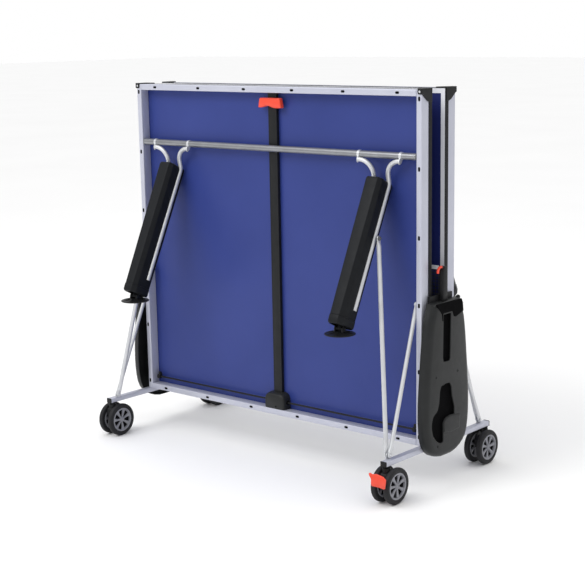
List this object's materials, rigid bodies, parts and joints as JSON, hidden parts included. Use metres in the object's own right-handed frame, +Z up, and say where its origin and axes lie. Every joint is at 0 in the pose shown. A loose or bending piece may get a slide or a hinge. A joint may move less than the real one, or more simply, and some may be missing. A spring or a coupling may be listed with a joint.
{
  "type": "folding table-tennis table",
  "caption": "Folding indoor table-tennis table stored upright: two hinged halves on a castor chassis, with net, folding legs and side bat holders.",
  "frame": {"origin": "on the floor, below the middle of the net, with the table folded for storage", "axes": "+X along the net, to the right when facing the front half; +Y from the front half to the rear half; +Z up"},
  "size_m": [1.636, 0.8344, 1.547],
  "materials": {
    "blue_board": "matt coated board",
    "black_plastic": "moulded, fine texture",
    "leg_plastic": "satin moulded",
    "tyre_rubber": "matt",
    "grey_plastic": "satin",
    "orange_plastic": "satin",
    "silver_paint": "powder coated silver",
    "zinc_steel": "bright zinc",
    "grey_steel": "silver paint",
    "black_rubber": "matt",
    "black_steel": "satin",
    "net_fabric": "knotted mesh",
    "tape_fabric": "woven tape"
  },
  "bodies": {
    "chassis": {"cross_tubes": "grey_steel", "centre_beam": "grey_steel", "tube_end_caps": "black_plastic", "stay_brackets": "grey_steel", "guide_tracks": "black_plastic", "uprights": "grey_steel", "right_shell": "black_plastic", "left_shell": "black_plastic"},
    "net": {"net_posts": "black_plastic", "net_mesh": "net_fabric", "net_tape": "tape_fabric"},
    "net_lever": {"net_tension_lever": "orange_plastic"},
    "castor_front_right": {"castor_fork_front_right": "black_plastic"},
    "wheels_front_right": {"tyres_front_right": "tyre_rubber", "rims_front_right": "grey_plastic"},
    "castor_front_left": {"castor_fork_front_left": "black_plastic"},
    "wheels_front_left": {"tyres_front_left": "tyre_rubber", "rims_front_left": "grey_plastic"},
    "castor_rear_right": {"castor_fork_rear_right": "black_plastic"},
    "wheels_rear_right": {"tyres_rear_right": "tyre_rubber", "rims_rear_right": "grey_plastic"},
    "castor_rear_left": {"castor_fork_rear_left": "black_plastic"},
    "wheels_rear_left": {"tyres_rear_left": "tyre_rubber", "rims_rear_left": "grey_plastic"},
    "brake_front": {"brake_pedal_front": "orange_plastic"},
    "brake_rear": {"brake_pedal_rear": "orange_plastic"},
    "front_carriage": {"front_guide_rollers": "black_plastic"},
    "front_top": {"front_board": "blue_board", "front_edge_band": "black_plastic", "front_side_rails": "silver_paint", "front_end_rails": "silver_paint", "front_corner_caps": "black_plastic", "front_centre_channel": "black_plastic", "front_lock_box": "black_plastic", "front_apron_plugs": "black_plastic"},
    "front_handle": {"front_release_handle": "orange_plastic"},
    "front_latch": {"front_latch_rod": "black_steel"},
    "front_strut_pair": {"front_struts": "zinc_steel"},
    "front_legs": {"front_crossbar": "zinc_steel", "front_leg_tubes": "zinc_steel", "front_leg_covers": "leg_plastic"},
    "front_stay_pair": {"front_stay_rods": "zinc_steel"},
    "front_foot_pair": {"front_feet": "black_rubber"},
    "rear_carriage": {"rear_guide_rollers": "black_plastic"},
    "rear_top": {"rear_board": "blue_board", "rear_edge_band": "black_plastic", "rear_side_rails": "silver_paint", "rear_end_rails": "silver_paint", "rear_corner_caps": "black_plastic", "rear_centre_channel": "black_plastic", "rear_lock_box": "black_plastic", "rear_apron_plugs": "black_plastic"},
    "rear_handle": {"rear_release_handle": "orange_plastic"},
    "rear_latch": {"rear_latch_rod": "black_steel"},
    "rear_strut_pair": {"rear_struts": "zinc_steel"},
    "rear_legs": {"rear_crossbar": "zinc_steel", "rear_leg_tubes": "zinc_steel", "rear_leg_covers": "leg_plastic"},
    "rear_stay_pair": {"rear_stay_rods": "zinc_steel"},
    "rear_foot_pair": {"rear_feet": "black_rubber"}
  },
  "joints": [
    {"name": "net_raise", "type": "slide", "parent": "chassis", "child": "net", "axis": [0, 0, 1], "range_m": [0, 0.0425]},
    {"name": "net_lever_turn", "type": "hinge", "parent": "net", "child": "net_lever", "pos_m": [0.79, -0.021, 0.87], "axis": [-1, 0, 0], "range_deg": [0, 60]},
    {"name": "swivel_front_right", "type": "hinge", "parent": "chassis", "child": "castor_front_right", "pos_m": [0.7625, -0.335, 0.13], "axis": [0, 0, 1], "continuous": true},
    {"name": "roll_front_right", "type": "hinge", "parent": "castor_front_right", "child": "wheels_front_right", "pos_m": [0.7625, -0.315, 0.072], "axis": [1, 0, 0], "continuous": true},
    {"name": "swivel_front_left", "type": "hinge", "parent": "chassis", "child": "castor_front_left", "pos_m": [-0.7625, -0.335, 0.13], "axis": [0, 0, 1], "continuous": true},
    {"name": "roll_front_left", "type": "hinge", "parent": "castor_front_left", "child": "wheels_front_left", "pos_m": [-0.7625, -0.315, 0.072], "axis": [1, 0, 0], "continuous": true},
    {"name": "swivel_rear_right", "type": "hinge", "parent": "chassis", "child": "castor_rear_right", "pos_m": [0.7625, 0.335, 0.13], "axis": [0, 0, 1], "continuous": true},
    {"name": "roll_rear_right", "type": "hinge", "parent": "castor_rear_right", "child": "wheels_rear_right", "pos_m": [0.7625, 0.315, 0.072], "axis": [1, 0, 0], "continuous": true},
    {"name": "swivel_rear_left", "type": "hinge", "parent": "chassis", "child": "castor_rear_left", "pos_m": [-0.7625, 0.335, 0.13], "axis": [0, 0, 1], "continuous": true},
    {"name": "roll_rear_left", "type": "hinge", "parent": "castor_rear_left", "child": "wheels_rear_left", "pos_m": [-0.7625, 0.315, 0.072], "axis": [1, 0, 0], "continuous": true},
    {"name": "brake_front_press", "type": "hinge", "parent": "castor_front_right", "child": "brake_front", "pos_m": [0.7625, -0.365, 0.106], "axis": [1, 0, 0], "range_deg": [0, 10]},
    {"name": "brake_rear_press", "type": "hinge", "parent": "castor_rear_left", "child": "brake_rear", "pos_m": [-0.7625, 0.365, 0.106], "axis": [-1, 0, 0], "range_deg": [0, 10]},
    {"name": "front_lift", "type": "slide", "parent": "chassis", "child": "front_carriage", "axis": [0, 0, 1], "range_m": [0, 0.52501]},
    {"name": "front_fold", "type": "hinge", "parent": "front_carriage", "child": "front_top", "pos_m": [0, -0.054, 0.224], "axis": [1, 0, 0], "range_deg": [0, 90]},
    {"name": "front_strut_swing", "type": "hinge", "parent": "front_top", "child": "front_strut_pair", "pos_m": [0, -0.088, 0.72821], "axis": [1, 0, 0], "range_deg": [-42.76, 0]},
    {"name": "front_leg_swing", "type": "hinge", "parent": "front_top", "child": "front_legs", "pos_m": [0, -0.098, 1.293], "axis": [1, 0, 0], "range_deg": [-69.82, 0]},
    {"name": "front_stay_swing", "type": "hinge", "parent": "front_legs", "child": "front_stay_pair", "pos_m": [0, -0.18442, 0.98579], "axis": [1, 0, 0], "range_deg": [0, 64.39]},
    {"name": "front_foot_swing", "type": "hinge", "parent": "front_legs", "child": "front_foot_pair", "pos_m": [0, -0.35718, 0.65895], "axis": [1, 0, 0], "range_deg": [-20.18, 0]},
    {"name": "front_release", "type": "slide", "parent": "front_top", "child": "front_handle", "axis": [0, 0, -1], "range_m": [0, 0.012], "stiffness_N_per_m": 400, "springref_m": -0.01},
    {"name": "front_latch_turn", "type": "hinge", "parent": "front_top", "child": "front_latch", "pos_m": [0, -0.085, 0.227], "axis": [1, 0, 0], "range_deg": [0, 25]},
    {"name": "rear_lift", "type": "slide", "parent": "chassis", "child": "rear_carriage", "axis": [0, 0, 1], "range_m": [0, 0.52501]},
    {"name": "rear_fold", "type": "hinge", "parent": "rear_carriage", "child": "rear_top", "pos_m": [0, 0.054, 0.224], "axis": [-1, 0, 0], "range_deg": [0, 90]},
    {"name": "rear_strut_swing", "type": "hinge", "parent": "rear_top", "child": "rear_strut_pair", "pos_m": [0, 0.088, 0.72821], "axis": [-1, 0, 0], "range_deg": [-42.76, 0]},
    {"name": "rear_leg_swing", "type": "hinge", "parent": "rear_top", "child": "rear_legs", "pos_m": [0, 0.098, 1.293], "axis": [-1, 0, 0], "range_deg": [-69.82, 0]},
    {"name": "rear_stay_swing", "type": "hinge", "parent": "rear_legs", "child": "rear_stay_pair", "pos_m": [0, 0.18442, 0.98579], "axis": [-1, 0, 0], "range_deg": [0, 64.39]},
    {"name": "rear_foot_swing", "type": "hinge", "parent": "rear_legs", "child": "rear_foot_pair", "pos_m": [0, 0.35718, 0.65895], "axis": [-1, 0, 0], "range_deg": [-20.18, 0]},
    {"name": "rear_release", "type": "slide", "parent": "rear_top", "child": "rear_handle", "axis": [0, 0, -1], "range_m": [0, 0.012], "stiffness_N_per_m": 400, "springref_m": -0.01},
    {"name": "rear_latch_turn", "type": "hinge", "parent": "rear_top", "child": "rear_latch", "pos_m": [0, 0.085, 0.227], "axis": [-1, 0, 0], "range_deg": [0, 25]}
  ],
  "couplings": [
    {"joint": "front_lift", "follows": "front_fold", "m_per_rad": 0.33423},
    {"joint": "front_strut_swing", "follows": "front_fold", "ratio": -0.47509},
    {"joint": "front_leg_swing", "follows": "front_fold", "ratio": -0.77577},
    {"joint": "front_stay_swing", "follows": "front_fold", "ratio": 0.71548},
    {"joint": "front_foot_swing", "follows": "front_fold", "ratio": -0.22423},
    {"joint": "front_latch_turn", "follows": "front_release", "rad_per_m": 36.346},
    {"joint": "rear_lift", "follows": "rear_fold", "m_per_rad": 0.33423},
    {"joint": "rear_strut_swing", "follows": "rear_fold", "ratio": -0.47509},
    {"joint": "rear_leg_swing", "follows": "rear_fold", "ratio": -0.77577},
    {"joint": "rear_stay_swing", "follows": "rear_fold", "ratio": 0.71548},
    {"joint": "rear_foot_swing", "follows": "rear_fold", "ratio": -0.22423},
    {"joint": "rear_latch_turn", "follows": "rear_release", "rad_per_m": 36.346}
  ]
}
